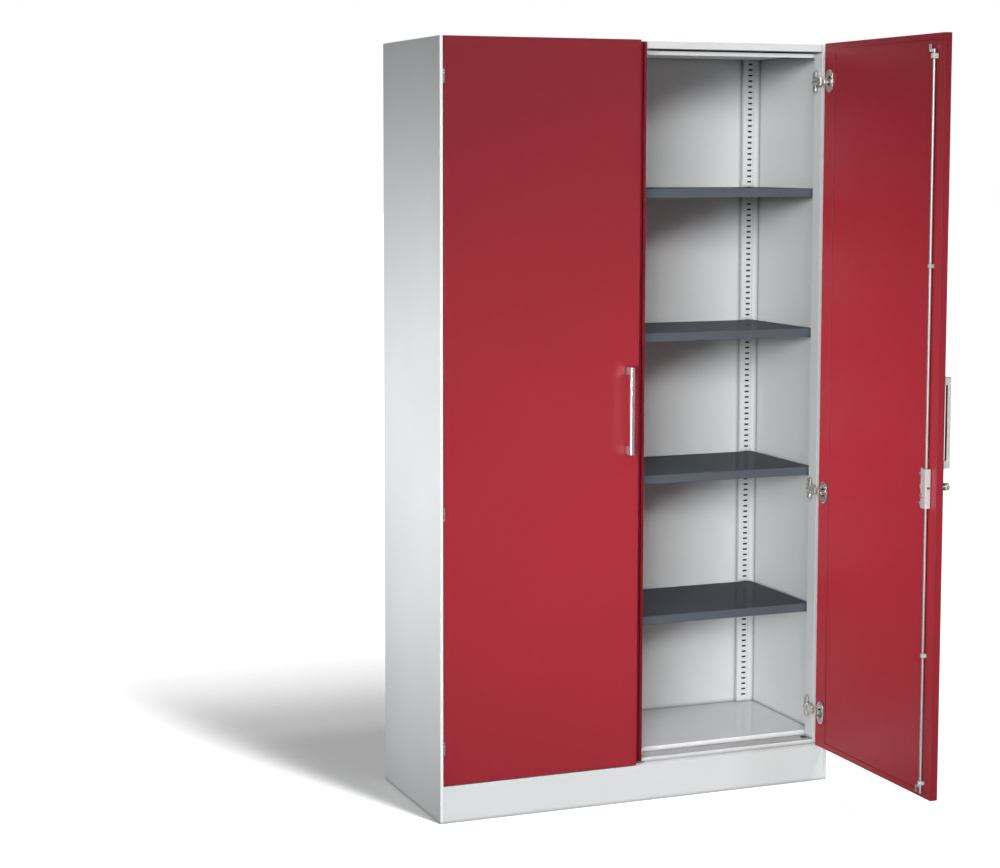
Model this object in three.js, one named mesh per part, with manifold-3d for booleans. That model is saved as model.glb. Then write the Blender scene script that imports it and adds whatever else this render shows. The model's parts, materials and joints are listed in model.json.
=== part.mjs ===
// Two-door sheet-steel storage cabinet with adjustable shelves, concealed hinges and a
// turning-rod lock. Millimetres, +Z up, +X to the right and +Y to the back of the cabinet.
// The origin lies on the floor at mid-width, in the middle of the plinth's foot flange.
// The right door stands open by RIGHT_DOOR_OPEN and the left door is shut.

import * as THREE from "three";
import { mergeVertices } from "three/addons/utils/BufferGeometryUtils.js";
import Module from "manifold-3d";

const wasm = await Module();
wasm.setup();

// ---- driving dimensions ----
const WIDTH = 1100;
const DEPTH = 420;
const HEIGHT = 1950;
const FOOT_FLANGE = 40; // depth of the plinth's foot flange, which carries the origin
const SHEET = 1; // panels
const POST_SHEET = 1.2; // posts and rails
const GAP = 0.3; // between pieces that touch
const PAST = 5; // how far a cutting body runs past the faces it cuts

// carcass, derived planes
const HALF = WIDTH / 2;
const FRONT = -FOOT_FLANGE / 2;
const BACK = FRONT + DEPTH;
const STRIP_WIDTH = 8; // face of the side panel beside the door
const REAR_RETURN = 20;
const FRAME_FRONT = FRONT + 25; // front of posts, ledge and top, behind the doors
const POST_INNER = 522;
const POST_BACK = 45;
const SIDE_INNER = HALF - SHEET;
const SHELL_REAR = BACK - SHEET - GAP;
const BACK_FACE = SHELL_REAR - SHEET;

// heights
const PLINTH_TOP = 94.4;
const PLINTH_TOP_REAR = FRAME_FRONT + 15;
const LEDGE_TOP = 105.5;
const LEDGE_REAR_FOLD = 40;
const FLOOR_TOP = 119;
const FLOOR_REAR_FOLD = 25;
const BACK_PANEL_LOW = 2;
const TOP_SURFACE = HEIGHT - 2;
const TOP_SETBACK = 2; // front face of the top behind the frame's front
const TOP_FACE_HEIGHT = 18;
const TOP_FACE_RETURN = 33;
const CEILING_TOP = 1926.4;
const CEILING_LIP = 10;

// shelves
const SHELF_COUNT = 4;
const SHELF_FIRST = 465;
const SHELF_STEP = 370;
const SHELF_FRONT = FRONT + 73;
const SHELF_BACK = 383;
const SHELF_HALF = 535;
const SHELF_LIP = 22;
const SHELF_RETURN = 12;
const LEDGE_REAR = SHELF_FRONT + 27;

// slotted rails in the rear corners
const RAIL_INNER = 498;
const RAIL_FRONT = 385;
const RAIL_TOP = 1940;
const SLOTS_PER_STEP = 24;
const SLOT_PITCH = SHELF_STEP / SLOTS_PER_STEP;
const SLOT_COUNT = 116;
const SLOT_FIRST = 140;
const SLOT_LENGTH = 13;
const SLOT_HEIGHT = 5;
const SLOT_CENTRE = 518;

// doors
const DOOR_THICK = 20;
const DOOR_BACK = FRONT + DOOR_THICK;
const DOOR_GAP = 2.5; // dark joint beside and below a shut door
const DOOR_BOTTOM = PLINTH_TOP + DOOR_GAP;
const DOOR_EDGE = HALF - STRIP_WIDTH - DOOR_GAP; // hinge edge
const LEFT_DOOR_WIDTH = 528;
const RIGHT_DOOR_WIDTH = 548;
const HINGE_RETURN = 48.5; // flange of the outer skin on the hinge side
const EDGE_RETURN = 15; // flange of the outer skin on the other three sides
const LAP = 4; // inner panel behind the flanges
const HINGE_LAP = 3.5;
const HINGE_AXIS_X = DOOR_EDGE - 2.5;
const HINGE_AXIS_Y = FRONT;
const RIGHT_DOOR_OPEN = Math.PI / 2;

// concealed hinges
const HINGE_HEIGHTS = { bottom: 190, middle: 779, top: 1853 };
const CUP_FROM_EDGE = 27;
const CUP_HOLE_R = 17;
const CUP_R = CUP_HOLE_R - GAP;
const CUP_POCKET_R = 15;
const CUP_DEPTH = 17;
const CUP_BOTTOM = 1.5;
const CUP_FLANGE_HEIGHT = 60;
const CUP_FLANGE_WIDTH = 28;
const CUP_FLANGE_THICK = 1.5;
const EDGE_NOTCH = 3;
const EDGE_NOTCH_HEIGHT = 36;
const EDGE_LIP = 3; // how far the cup's side plate reaches under its rim
const LINK_STUB = { under: 4, fromEdge: 2.5, rise: 4, halfHeight: 6 };
const ARM_PLATE = { thick: 6, front: 27, halfHeight: 28 };
const ARM = { thick: 16, front: 3, halfHeight: 8 };
const ARM_NOSE = { outer: 17, inner: 10, front: -14, rear: 12, halfHeight: 7 };
const ARM_REAR = POST_BACK - 1;

// handles and lock
const HANDLE_HEIGHT = 222;
const HANDLE_STANDOFF = 36;
const HANDLE_BAR = 10;
const HANDLE_LEG = 20;
const HANDLE_CENTRE = 1018;
const LOCK_FROM_EDGE = 33;
const LOCK_Z = 862;
const LOCK_R = 9;
const ROD_R = 3.5;
const ROD_STANDOFF = 7;
const ROD_CLEAR = 0.4;
const LOCK_CASE = { below: 50, above: 46, left: 9, width: 32.5, thick: 7 };
const LOCK_RIDGE = { width: 18, thick: 15 };
const LOCK_BOSS = { radius: 9, thick: 11, x: 21, rise: 2 };
const LOCK_BORE = 14; // depth of the rod's bore at each end of the case
const KEYWAY_DEPTH = 9;
const CYLINDER_OUT = 18;
const CYLINDER_IN = 6;
const KEY_BOW = { half: 7, reach: 12, halfThick: 2 };
const ROSETTE = { radius: 14, thick: 3 };
const HOOK = { reach: 14, height: 18, barHeight: 6, halfThick: 1.2, tipWidth: 3, tipReach: 6 };
const UPPER_ROD = { from: LOCK_Z + 36, to: 1912, hook: 1906, bar: 1906 };
const LOWER_ROD = { from: 109, to: LOCK_Z - 40, hook: 110, bar: 122 };
const ROD_GUIDES = {
  top: { z: 1890, half: 8, height: 12 },
  upper: { z: 1393, half: 6, height: 9 },
  lower: { z: 446, half: 6, height: 9 },
  bottom: { z: 130, half: 7, height: 9 },
};
const KEEPER_PLATE = { half: 7, front: 5, rear: 9, thick: 2 };
const KEEPER_PIN_R = 2.5;
const KEEPER_BEHIND = 6; // from the rod's axis back to the pin's
const KEEPER_ASIDE = 5;
const KEEPER_PIN_LOW_TOP = 1907;
const KEEPER_PIN_HIGH_BOTTOM = 127;

// strike strip and glide of the left door
const STRIKE = { inner: 34, step: 15, rise: 3.2, groove: 18, grooveRise: 0.7, outer: 26 };
const STRIKE_BELOW = 1.5;
const STRIKE_ABOVE = 4;
const GLIDE = { left: -2, right: 22, front: 0.5, thick: 1.3 };

// levelling feet
const FOOT_X = 510;
const FOOT_FRONT_Y = 33;
const FOOT_REAR_Y = 350;
const FOOT_STEM = { radius: 5, low: 10, high: 88 };
const FOOT_PAD = { radius: 12, low: 0.5, high: 7 };
const FOOT_NUT = { radius: 8.5, low: 6.5, high: 14 };
const CHANNEL = { reach: 19, low: 34, high: 58 };
const CAP_HOLE_R = 6;
const CAP_RIM = { radius: 8, rise: 1.8 };
const CAP_PLUG = 6;

// ---- materials ----
const LIGHT_GREY = { color: 0xd5d8d9, roughness: 0.45, metalness: 0.0 };
const RUBY_RED = { color: 0x9c2530, roughness: 0.4, metalness: 0.0 };
const ANTHRACITE = { color: 0x3a4248, roughness: 0.35, metalness: 0.0 };
const SATIN = { color: 0xd8d4cf, roughness: 0.3, metalness: 0.9 };
const NICKEL = { color: 0xc8c6bf, roughness: 0.25, metalness: 1.0 };
const ZINC = { color: 0xc9cbc8, roughness: 0.4, metalness: 0.8 };
const BLACK_PLASTIC = { color: 0x17181a, roughness: 0.5, metalness: 0.0 };
const PALE_PLASTIC = { color: 0xcfcfc9, roughness: 0.4, metalness: 0.0 };

// ---- solids ----
function toSolid(geometry) {
  const bare = geometry.index ? geometry.toNonIndexed() : geometry.clone();
  bare.deleteAttribute("normal");
  bare.deleteAttribute("uv");
  const merged = mergeVertices(bare, 1e-3);
  return new wasm.Manifold(
    new wasm.Mesh({
      numProp: 3,
      vertProperties: merged.attributes.position.array,
      triVerts: new Uint32Array(merged.index.array),
    }),
  );
}

function toGeometry(solid) {
  const mesh = solid.getMesh();
  const geometry = new THREE.BufferGeometry();
  geometry.setAttribute("position", new THREE.BufferAttribute(mesh.vertProperties, 3));
  geometry.setIndex(new THREE.BufferAttribute(mesh.triVerts, 1));
  geometry.computeVertexNormals();
  return geometry;
}

function join(first, ...others) {
  return others.reduce((sum, next) => sum.add(next), first);
}

function cut(first, ...others) {
  return others.reduce((rest, next) => rest.subtract(next), first);
}

function box([x0, x1], [y0, y1], [z0, z1]) {
  const geometry = new THREE.BoxGeometry(x1 - x0, y1 - y0, z1 - z0);
  geometry.translate((x0 + x1) / 2, (y0 + y1) / 2, (z0 + z1) / 2);
  return toSolid(geometry);
}

// A cylinder whose axis is "y" or "z", from one end coordinate to the other.
function cylinder(axis, radius, from, to, across, segments = 28) {
  const geometry = new THREE.CylinderGeometry(radius, radius, to - from, segments);
  const middle = (from + to) / 2;
  if (axis === "z") {
    geometry.rotateX(Math.PI / 2);
    geometry.translate(across[0], across[1], middle);
  } else {
    geometry.translate(across[0], middle, across[1]);
  }
  return toSolid(geometry);
}

// The closed outline of a folded sheet: the given outer line and its parallel at thickness,
// on the left of the line for a positive thickness.
function foldedOutline(line, thickness) {
  const points = line.map(([a, b]) => new THREE.Vector2(a, b));
  const normals = points.slice(1).map((point, i) => {
    const along = point.clone().sub(points[i]).normalize();
    return new THREE.Vector2(-along.y, along.x).multiplyScalar(thickness);
  });
  const inner = points.map((point, i) => {
    const offset = new THREE.Vector2();
    if (i > 0) offset.add(normals[i - 1]);
    if (i < normals.length) offset.add(normals[i]);
    return point.clone().add(offset);
  });
  return [...points, ...inner.reverse()];
}

function extrude(outline, from, to, basis) {
  const shape = new THREE.Shape(outline);
  const geometry = new THREE.ExtrudeGeometry(shape, { depth: to - from, bevelEnabled: false });
  geometry.translate(0, 0, from);
  geometry.applyMatrix4(basis);
  return toSolid(geometry);
}

const AXIS_X = new THREE.Vector3(1, 0, 0);
const AXIS_Y = new THREE.Vector3(0, 1, 0);
const AXIS_Z = new THREE.Vector3(0, 0, 1);

// A section drawn in X and Y, standing along Z.
function upright(outline, [from, to]) {
  return extrude(outline, from, to, new THREE.Matrix4());
}

// A section drawn in Y and Z, lying along X.
function across(outline, [from, to]) {
  return extrude(outline, from, to, new THREE.Matrix4().makeBasis(AXIS_Y, AXIS_Z, AXIS_X));
}

// The same solid on the other side of the cabinet.
function mirrored(solid) {
  const mesh = solid.getMesh();
  const vertProperties = mesh.vertProperties.map((value, i) => (i % 3 === 0 ? -value : value));
  const triVerts = mesh.triVerts.slice();
  for (let i = 0; i < triVerts.length; i += 3) {
    triVerts[i] = mesh.triVerts[i + 1];
    triVerts[i + 1] = mesh.triVerts[i];
  }
  return new wasm.Manifold(new wasm.Mesh({ numProp: 3, vertProperties, triVerts }));
}

// ---- scene graph ----
const cabinet = new THREE.Group();
const carcass = new THREE.Group();
cabinet.add(carcass);

function place(group, name, solid, finish) {
  const mesh = new THREE.Mesh(toGeometry(solid), new THREE.MeshStandardMaterial(finish));
  mesh.name = name;
  group.add(mesh);
}

function placePair(group, name, rightSolid, finish) {
  place(group, name + "_right", rightSolid, finish);
  place(group, name + "_left", mirrored(rightSolid), finish);
}

// ---- carcass ----
function sidePanel() {
  const line = [
    [HALF - STRIP_WIDTH, FRAME_FRONT],
    [HALF - STRIP_WIDTH, FRONT],
    [HALF, FRONT],
    [HALF, BACK],
    [HALF - REAR_RETURN, BACK],
  ];
  return upright(foldedOutline(line, SHEET), [0, HEIGHT]);
}

function frontPost() {
  const outer = SIDE_INNER - GAP;
  const line = [
    [outer, POST_BACK],
    [POST_INNER, POST_BACK],
    [POST_INNER, FRAME_FRONT + GAP],
    [outer, FRAME_FRONT + GAP],
  ];
  return upright(foldedOutline(line, POST_SHEET), [PLINTH_TOP + GAP, TOP_SURFACE]);
}

function rearRail() {
  const outer = SIDE_INNER - GAP;
  const line = [
    [RAIL_INNER, BACK_FACE - GAP],
    [RAIL_INNER, RAIL_FRONT],
    [outer, RAIL_FRONT],
  ];
  const channel = upright(foldedOutline(line, POST_SHEET), [FLOOR_TOP + GAP, RAIL_TOP]);
  const slots = [];
  for (let i = 0; i < SLOT_COUNT; i += 1) {
    const z = SLOT_FIRST + i * SLOT_PITCH;
    slots.push(
      box(
        [SLOT_CENTRE - SLOT_LENGTH / 2, SLOT_CENTRE + SLOT_LENGTH / 2],
        [RAIL_FRONT - SHEET, RAIL_FRONT + 2 * POST_SHEET],
        [z - SLOT_HEIGHT / 2, z + SLOT_HEIGHT / 2],
      ),
    );
  }
  return cut(channel, ...slots);
}

function backPanel() {
  const half = SIDE_INNER - GAP;
  return box([-half, half], [BACK_FACE, SHELL_REAR], [BACK_PANEL_LOW, TOP_SURFACE - SHEET - GAP]);
}

function topPanel() {
  const half = SIDE_INNER - GAP;
  const rear = BACK_FACE - GAP;
  const front = FRAME_FRONT + TOP_SETBACK;
  const lower = TOP_SURFACE - TOP_FACE_HEIGHT;
  const line = [
    [front + TOP_FACE_RETURN, lower],
    [front, lower],
    [front, TOP_SURFACE],
    [rear, TOP_SURFACE],
    [rear, lower],
  ];
  const sheet = across(foldedOutline(line, -SHEET), [-half, half]);
  const postCorner = (side) =>
    box(
      side > 0 ? [POST_INNER - GAP, HALF] : [-HALF, -POST_INNER + GAP],
      [FRONT, POST_BACK + GAP],
      [lower - SHEET, HEIGHT],
    );
  const railCorner = (side) =>
    box(
      side > 0 ? [RAIL_INNER - GAP, HALF] : [-HALF, -RAIL_INNER + GAP],
      [RAIL_FRONT - GAP, BACK],
      [lower - SHEET, RAIL_TOP + GAP],
    );
  return cut(sheet, postCorner(1), postCorner(-1), railCorner(1), railCorner(-1));
}

function ceilingPanel() {
  const half = SIDE_INNER - GAP;
  const lower = CEILING_TOP - CEILING_LIP;
  const line = [
    [SHELF_FRONT + SHELF_RETURN, lower],
    [SHELF_FRONT, lower],
    [SHELF_FRONT, CEILING_TOP],
    [RAIL_FRONT - GAP, CEILING_TOP],
  ];
  return across(foldedOutline(line, -SHEET), [-half, half]);
}

function floorPanel() {
  const half = SIDE_INNER - GAP;
  const rear = BACK_FACE - GAP;
  const lower = LEDGE_TOP + GAP;
  const line = [
    [SHELF_FRONT + SHELF_RETURN, lower],
    [SHELF_FRONT, lower],
    [SHELF_FRONT, FLOOR_TOP],
    [rear, FLOOR_TOP],
    [rear, FLOOR_TOP - FLOOR_REAR_FOLD],
  ];
  return across(foldedOutline(line, -SHEET), [-half, half]);
}

function baseLedge() {
  const half = POST_INNER - GAP;
  const line = [
    [FRAME_FRONT, PLINTH_TOP + GAP],
    [FRAME_FRONT, LEDGE_TOP],
    [LEDGE_REAR, LEDGE_TOP],
    [LEDGE_REAR, LEDGE_TOP - LEDGE_REAR_FOLD],
  ];
  const sheet = across(foldedOutline(line, -SHEET), [-half, half]);
  const levels = [LEDGE_TOP - PAST, LEDGE_TOP + PAST];
  const hole = (x) => cylinder("z", CAP_HOLE_R, ...levels, [x, FOOT_FRONT_Y], 20);
  return cut(sheet, hole(FOOT_X), hole(-FOOT_X));
}

function plinthFront() {
  const half = HALF - STRIP_WIDTH - GAP;
  const line = [
    [FRONT + FOOT_FLANGE, 0],
    [FRONT, 0],
    [FRONT, PLINTH_TOP],
    [PLINTH_TOP_REAR, PLINTH_TOP],
  ];
  return across(foldedOutline(line, -SHEET), [-half, half]);
}

// Cross channel under the floor that holds two levelling feet.
function baseChannel(footY) {
  const half = SIDE_INNER - GAP;
  const { reach, low, high } = CHANNEL;
  const line = [
    [footY - reach, low],
    [footY - reach, high],
    [footY + reach, high],
    [footY + reach, low],
  ];
  const sheet = across(foldedOutline(line, -2 * SHEET), [-half, half]);
  const holeRadius = FOOT_STEM.radius + GAP;
  const hole = (x) => cylinder("z", holeRadius, low, high + PAST, [x, footY], 20);
  return cut(sheet, hole(FOOT_X), hole(-FOOT_X));
}

function levellingFoot(x, footY) {
  const turned = ({ radius, low, high }, sides) => cylinder("z", radius, low, high, [x, footY], sides);
  return join(turned(FOOT_PAD, 24), turned(FOOT_NUT, 6), turned(FOOT_STEM, 16));
}

function accessCap(x) {
  const centre = [x, FOOT_FRONT_Y];
  const rim = cylinder("z", CAP_RIM.radius, LEDGE_TOP + GAP, LEDGE_TOP + CAP_RIM.rise, centre, 24);
  const plug = cylinder("z", CAP_HOLE_R - GAP, LEDGE_TOP - CAP_PLUG, LEDGE_TOP + SHEET, centre, 20);
  return join(rim, plug);
}

// Folded shelf, open below, its top surface at z.
function shelf(z) {
  const low = z - SHELF_LIP;
  const line = [
    [SHELF_FRONT + SHELF_RETURN, low],
    [SHELF_FRONT, low],
    [SHELF_FRONT, z],
    [SHELF_BACK, z],
    [SHELF_BACK, low],
    [SHELF_BACK - SHELF_RETURN, low],
  ];
  const tray = across(foldedOutline(line, -SHEET), [-SHELF_HALF, SHELF_HALF]);
  const sunk = SHEET / 2;
  const end = box(
    [SHELF_HALF - SHEET - sunk, SHELF_HALF - sunk],
    [SHELF_FRONT + sunk, SHELF_BACK - sunk],
    [low + sunk, z - sunk],
  );
  return join(tray, end, mirrored(end));
}

// Cabinet side of a concealed hinge: winged plate on the post, arm, and nose with the pivots.
function hingeArm(z) {
  const levels = (piece) => [z - piece.halfHeight, z + piece.halfHeight];
  const plateDepth = [POST_INNER - ARM_PLATE.thick, POST_INNER - GAP];
  const plate = box(plateDepth, [ARM_PLATE.front, ARM_REAR], levels(ARM_PLATE));
  const armDepth = [POST_INNER - ARM.thick, POST_INNER - ARM_PLATE.thick / 2];
  const arm = box(armDepth, [ARM.front, ARM_REAR], levels(ARM));
  const noseDepth = [POST_INNER - ARM_NOSE.outer, POST_INNER - ARM_NOSE.inner];
  const nose = box(noseDepth, [ARM_NOSE.front, ARM_NOSE.rear], levels(ARM_NOSE));
  return join(plate, arm, nose);
}

// Door side of a concealed hinge: flanged cup let into the door and its link stub.
function hingeCup(z) {
  const x = DOOR_EDGE - CUP_FROM_EDGE;
  const halfWidth = CUP_FLANGE_WIDTH / 2;
  const outside = DOOR_BACK + CUP_FLANGE_THICK;
  const body = cylinder("y", CUP_R, DOOR_BACK - CUP_DEPTH, outside, [x, z], 32);
  const flange = box(
    [x - halfWidth, x + halfWidth],
    [DOOR_BACK + GAP, outside + GAP],
    [z - CUP_FLANGE_HEIGHT / 2, z + CUP_FLANGE_HEIGHT / 2],
  );
  const edgeBlock = box(
    [x + CUP_R - EDGE_LIP, DOOR_EDGE - GAP],
    [DOOR_BACK - DOOR_THICK + GAP, DOOR_BACK - SHEET - GAP],
    [z - EDGE_NOTCH_HEIGHT / 2 + GAP, z + EDGE_NOTCH_HEIGHT / 2 - GAP],
  );
  const edgeBlockFront = box(
    [x, DOOR_EDGE - EDGE_NOTCH + GAP],
    [FRONT - SHEET, FRONT + SHEET + GAP],
    [z - EDGE_NOTCH_HEIGHT, z + EDGE_NOTCH_HEIGHT],
  );
  const stub = box(
    [x + halfWidth - LINK_STUB.under, DOOR_EDGE - LINK_STUB.fromEdge],
    [DOOR_BACK + GAP, DOOR_BACK + LINK_STUB.rise],
    [z - LINK_STUB.halfHeight, z + LINK_STUB.halfHeight],
  );
  const pocket = cylinder(
    "y",
    CUP_POCKET_R,
    DOOR_BACK - CUP_DEPTH + CUP_BOTTOM,
    outside + PAST,
    [x, z],
    32,
  );
  return cut(join(body, flange, cut(edgeBlock, edgeBlockFront), stub), pocket);
}

for (const [name, build] of [
  ["side_panel", sidePanel],
  ["front_post", frontPost],
  ["rear_rail", rearRail],
]) {
  placePair(carcass, name, build(), LIGHT_GREY);
}
place(carcass, "back_panel", backPanel(), LIGHT_GREY);
place(carcass, "top_panel", topPanel(), LIGHT_GREY);
place(carcass, "ceiling_panel", ceilingPanel(), LIGHT_GREY);
place(carcass, "floor_panel", floorPanel(), LIGHT_GREY);
place(carcass, "base_ledge", baseLedge(), LIGHT_GREY);
place(carcass, "plinth_front", plinthFront(), LIGHT_GREY);
place(carcass, "base_channel_front", baseChannel(FOOT_FRONT_Y), ZINC);
place(carcass, "base_channel_rear", baseChannel(FOOT_REAR_Y), ZINC);
placePair(carcass, "foot_access_cap", accessCap(FOOT_X), BLACK_PLASTIC);
placePair(carcass, "levelling_foot_front", levellingFoot(FOOT_X, FOOT_FRONT_Y), ZINC);
placePair(carcass, "levelling_foot_rear", levellingFoot(FOOT_X, FOOT_REAR_Y), ZINC);
for (let i = 0; i < SHELF_COUNT; i += 1) {
  place(carcass, "shelf_" + (i + 1), shelf(SHELF_FIRST + i * SHELF_STEP), ANTHRACITE);
}
for (const [level, z] of Object.entries(HINGE_HEIGHTS)) {
  placePair(carcass, "hinge_arm_" + level, hingeArm(z), NICKEL);
}

// ---- doors, drawn shut ----
const LOCK_X = DOOR_EDGE - RIGHT_DOOR_WIDTH + LOCK_FROM_EDGE;
const ROD_Y = DOOR_BACK + ROD_STANDOFF;

// Outer skin with its folded edges and flanges, hinged on the right.
function doorSkin(width) {
  const free = DOOR_EDGE - width;
  const inset = (by) => [
    [free + by, DOOR_EDGE - by],
    [DOOR_BOTTOM + by, HEIGHT - by],
  ];
  const [outerX, outerZ] = inset(0);
  const [innerX, innerZ] = inset(SHEET);
  const [, windowZ] = inset(EDGE_RETURN);
  const shell = cut(
    box(outerX, [FRONT, DOOR_BACK], outerZ),
    box(innerX, [FRONT + SHEET, DOOR_BACK - SHEET], innerZ),
    box([free + EDGE_RETURN, DOOR_EDGE - HINGE_RETURN], [FRONT + PAST, DOOR_BACK + PAST], windowZ),
  );
  const cupX = DOOR_EDGE - CUP_FROM_EDGE;
  const cuts = Object.values(HINGE_HEIGHTS).flatMap((z) => [
    cylinder("y", CUP_HOLE_R, FRONT + PAST, DOOR_BACK + PAST, [cupX, z], 32),
    box(
      [DOOR_EDGE - EDGE_NOTCH, HALF],
      [FRONT - PAST, DOOR_BACK - SHEET],
      [z - EDGE_NOTCH_HEIGHT / 2, z + EDGE_NOTCH_HEIGHT / 2],
    ),
  ]);
  return cut(shell, ...cuts);
}

// Inner panel, lapped behind the skin's flanges.
function doorInner(width) {
  const free = DOOR_EDGE - width;
  const back = DOOR_BACK - SHEET - GAP;
  return box(
    [free + EDGE_RETURN - LAP, DOOR_EDGE - HINGE_RETURN + HINGE_LAP],
    [back - SHEET, back],
    [DOOR_BOTTOM + EDGE_RETURN - LAP, HEIGHT - EDGE_RETURN + LAP],
  );
}

function handle(x) {
  const near = FRONT - GAP;
  const far = FRONT - HANDLE_STANDOFF;
  const low = HANDLE_CENTRE - HANDLE_HEIGHT / 2;
  const high = HANDLE_CENTRE + HANDLE_HEIGHT / 2;
  const outline = [
    [near, low],
    [near, low + HANDLE_LEG],
    [far + HANDLE_BAR, low + HANDLE_LEG],
    [far + HANDLE_BAR, high - HANDLE_LEG],
    [near, high - HANDLE_LEG],
    [near, high],
    [far, high],
    [far, low],
  ].map(([y, z]) => new THREE.Vector2(y, z));
  return across(outline, [x - HANDLE_BAR / 2, x + HANDLE_BAR / 2]);
}

// Stepped strip behind the left door's free edge, which the right door closes onto.
function strikeStrip() {
  const free = -(DOOR_EDGE - LEFT_DOOR_WIDTH);
  const low = DOOR_BACK + GAP;
  const { inner, step, rise, groove, grooveRise, outer } = STRIKE;
  const line = [
    [free - inner, low],
    [free + step, low],
    [free + step, low + rise],
    [free + groove, low + rise],
    [free + groove, low + grooveRise],
    [free + outer, low + grooveRise],
    [free + outer, low + rise],
  ];
  return upright(foldedOutline(line, SHEET), [DOOR_BOTTOM + STRIKE_BELOW, HEIGHT - STRIKE_ABOVE]);
}

function lockCase() {
  const left = LOCK_X - LOCK_CASE.left;
  const low = LOCK_Z - LOCK_CASE.below;
  const high = LOCK_Z + LOCK_CASE.above;
  const face = DOOR_BACK + GAP;
  const plate = box([left, left + LOCK_CASE.width], [face, face + LOCK_CASE.thick], [low, high]);
  const ridge = box([left, left + LOCK_RIDGE.width], [face, face + LOCK_RIDGE.thick], [low, high]);
  const bossPlace = [left + LOCK_BOSS.x, LOCK_Z + LOCK_BOSS.rise];
  const boss = cylinder("y", LOCK_BOSS.radius, face, face + LOCK_BOSS.thick, bossPlace, 24);
  const bore = (from, to) => cylinder("z", ROD_R + ROD_CLEAR, from, to, [LOCK_X, ROD_Y], 16);
  const lowBore = bore(low - PAST, low + LOCK_BORE);
  const highBore = bore(high - LOCK_BORE, high + PAST);
  const keywayEnd = face + KEYWAY_DEPTH;
  const keyway = cylinder("y", LOCK_R + ROD_CLEAR, face - PAST, keywayEnd, [LOCK_X, LOCK_Z], 28);
  return cut(join(plate, ridge, boss), lowBore, highBore, keyway);
}

function lockCylinder() {
  const { half, reach, halfThick } = KEY_BOW;
  const outside = FRONT - CYLINDER_OUT;
  const barrel = cylinder("y", LOCK_R, outside, DOOR_BACK + CYLINDER_IN, [LOCK_X, LOCK_Z], 28);
  const bow = box(
    [LOCK_X - half, LOCK_X + half],
    [outside - reach, outside + halfThick],
    [LOCK_Z - halfThick, LOCK_Z + halfThick],
  );
  return join(barrel, bow);
}

function lockRosette() {
  const near = FRONT - GAP;
  const centre = [LOCK_X, LOCK_Z];
  const ring = cylinder("y", ROSETTE.radius, near - ROSETTE.thick, near, centre, 32);
  const hole = cylinder("y", LOCK_R + ROD_CLEAR, near - 2 * PAST, near + PAST, centre, 28);
  return cut(ring, hole);
}

// Round rod with a bent hook that points to the hinge side while unlocked.
function lockRod({ from, to, hook, bar }) {
  const rod = cylinder("z", ROD_R, from, to, [LOCK_X, ROD_Y], 16);
  const end = LOCK_X + HOOK.reach;
  const barSides = [ROD_Y - HOOK.halfThick, ROD_Y + HOOK.halfThick];
  const crossbar = box([LOCK_X, end], barSides, [bar, bar + HOOK.barHeight]);
  const tipSides = [ROD_Y, ROD_Y + HOOK.tipReach];
  const tip = box([end - HOOK.tipWidth, end], tipSides, [hook, hook + HOOK.height]);
  return join(rod, crossbar, tip);
}

// Plastic guide with a round crown over the rod, on the door's inner face.
function rodGuide({ z, half, height }) {
  const face = DOOR_BACK + GAP;
  const top = z + height;
  const block = box([LOCK_X - half, LOCK_X + half], [FRONT, ROD_Y + SHEET], [z, top]);
  const crown = cylinder("z", half, z, top, [LOCK_X, ROD_Y], 24);
  const past = [z - PAST, top + PAST];
  const belowFace = box([LOCK_X - 2 * half, LOCK_X + 2 * half], [FRONT - PAST, face], past);
  const bore = cylinder("z", ROD_R + ROD_CLEAR, ...past, [LOCK_X, ROD_Y], 16);
  return cut(join(block, crown), belowFace, bore);
}

// Pin on a small plate that a rod's hook turns behind.
function rodKeeper(plateLow, pinLow, pinHigh) {
  const { half, front, rear, thick } = KEEPER_PLATE;
  const pinX = LOCK_X - KEEPER_ASIDE;
  const pinY = ROD_Y + KEEPER_BEHIND;
  const levels = [plateLow, plateLow + thick];
  const plate = box([pinX - half, pinX + half], [pinY - front, pinY + rear], levels);
  return join(plate, cylinder("z", KEEPER_PIN_R, pinLow, pinHigh, [pinX, pinY], 16));
}

function doorGlide() {
  const low = PLINTH_TOP + GAP;
  const { left, right, front, thick } = GLIDE;
  return box([left, right], [DOOR_BACK + front, FRAME_FRONT - GAP], [low, low + thick]);
}

// A group for a door, turned by an angle about its hinge axis, that takes pieces drawn shut.
function hinged(side, angle) {
  const turned = new THREE.Group();
  const shut = new THREE.Group();
  turned.position.set(side * HINGE_AXIS_X, HINGE_AXIS_Y, 0);
  turned.rotation.z = angle;
  shut.position.set(-side * HINGE_AXIS_X, -HINGE_AXIS_Y, 0);
  turned.add(shut);
  cabinet.add(turned);
  return shut;
}

const leftDoor = hinged(-1, 0);
const rightDoor = hinged(1, RIGHT_DOOR_OPEN);

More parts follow.
